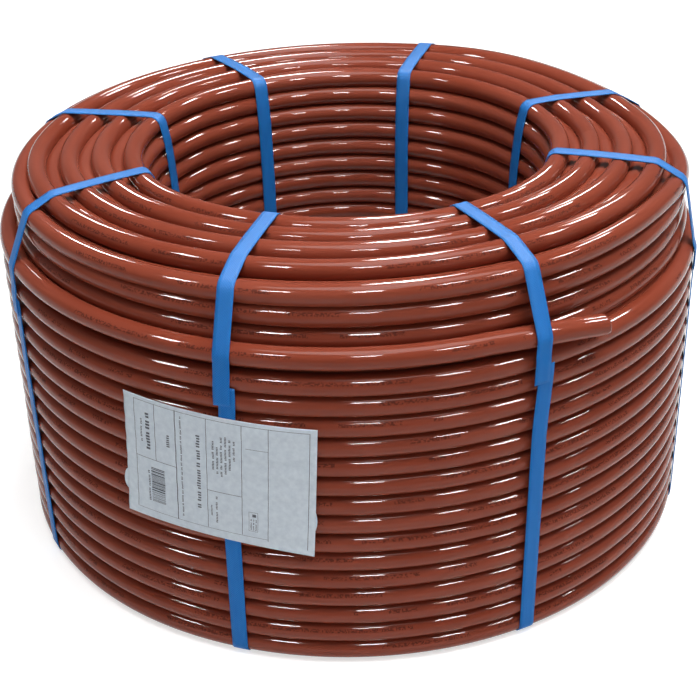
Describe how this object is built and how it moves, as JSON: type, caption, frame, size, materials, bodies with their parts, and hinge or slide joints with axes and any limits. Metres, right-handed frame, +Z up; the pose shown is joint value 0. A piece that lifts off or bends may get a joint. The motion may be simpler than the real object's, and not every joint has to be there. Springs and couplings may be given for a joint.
{
  "type": "coil of pex pipe",
  "caption": "Flat-lying coil of smooth red-brown plastic heating pipe, wound in nested turns round an open centre, held by flat straps, with a paper label and one free open end.",
  "frame": {"origin": "on the coil's axis, at the level of the floor that the straps' undersides rest on", "axes": "+Z up along the coil's axis; -Y is the front, where the label is; +X is to the right seen from the front; the pipe's free end lies on the wall at front right"},
  "size_m": [0.56, 0.5604, 0.3063],
  "materials": {
    "pipe": "glossy extruded red-brown polyethylene",
    "strap": "embossed blue polypropylene strapping",
    "label": "printed white paper"
  },
  "bodies": {
    "root": {"pipe_coil": "pipe", "strap_01": "strap", "strap_02": "strap", "strap_03": "strap", "strap_04": "strap", "strap_05": "strap", "strap_06": "strap", "strap_07": "strap", "strap_08": "strap", "label": "label"}
  },
  "joints": []
}
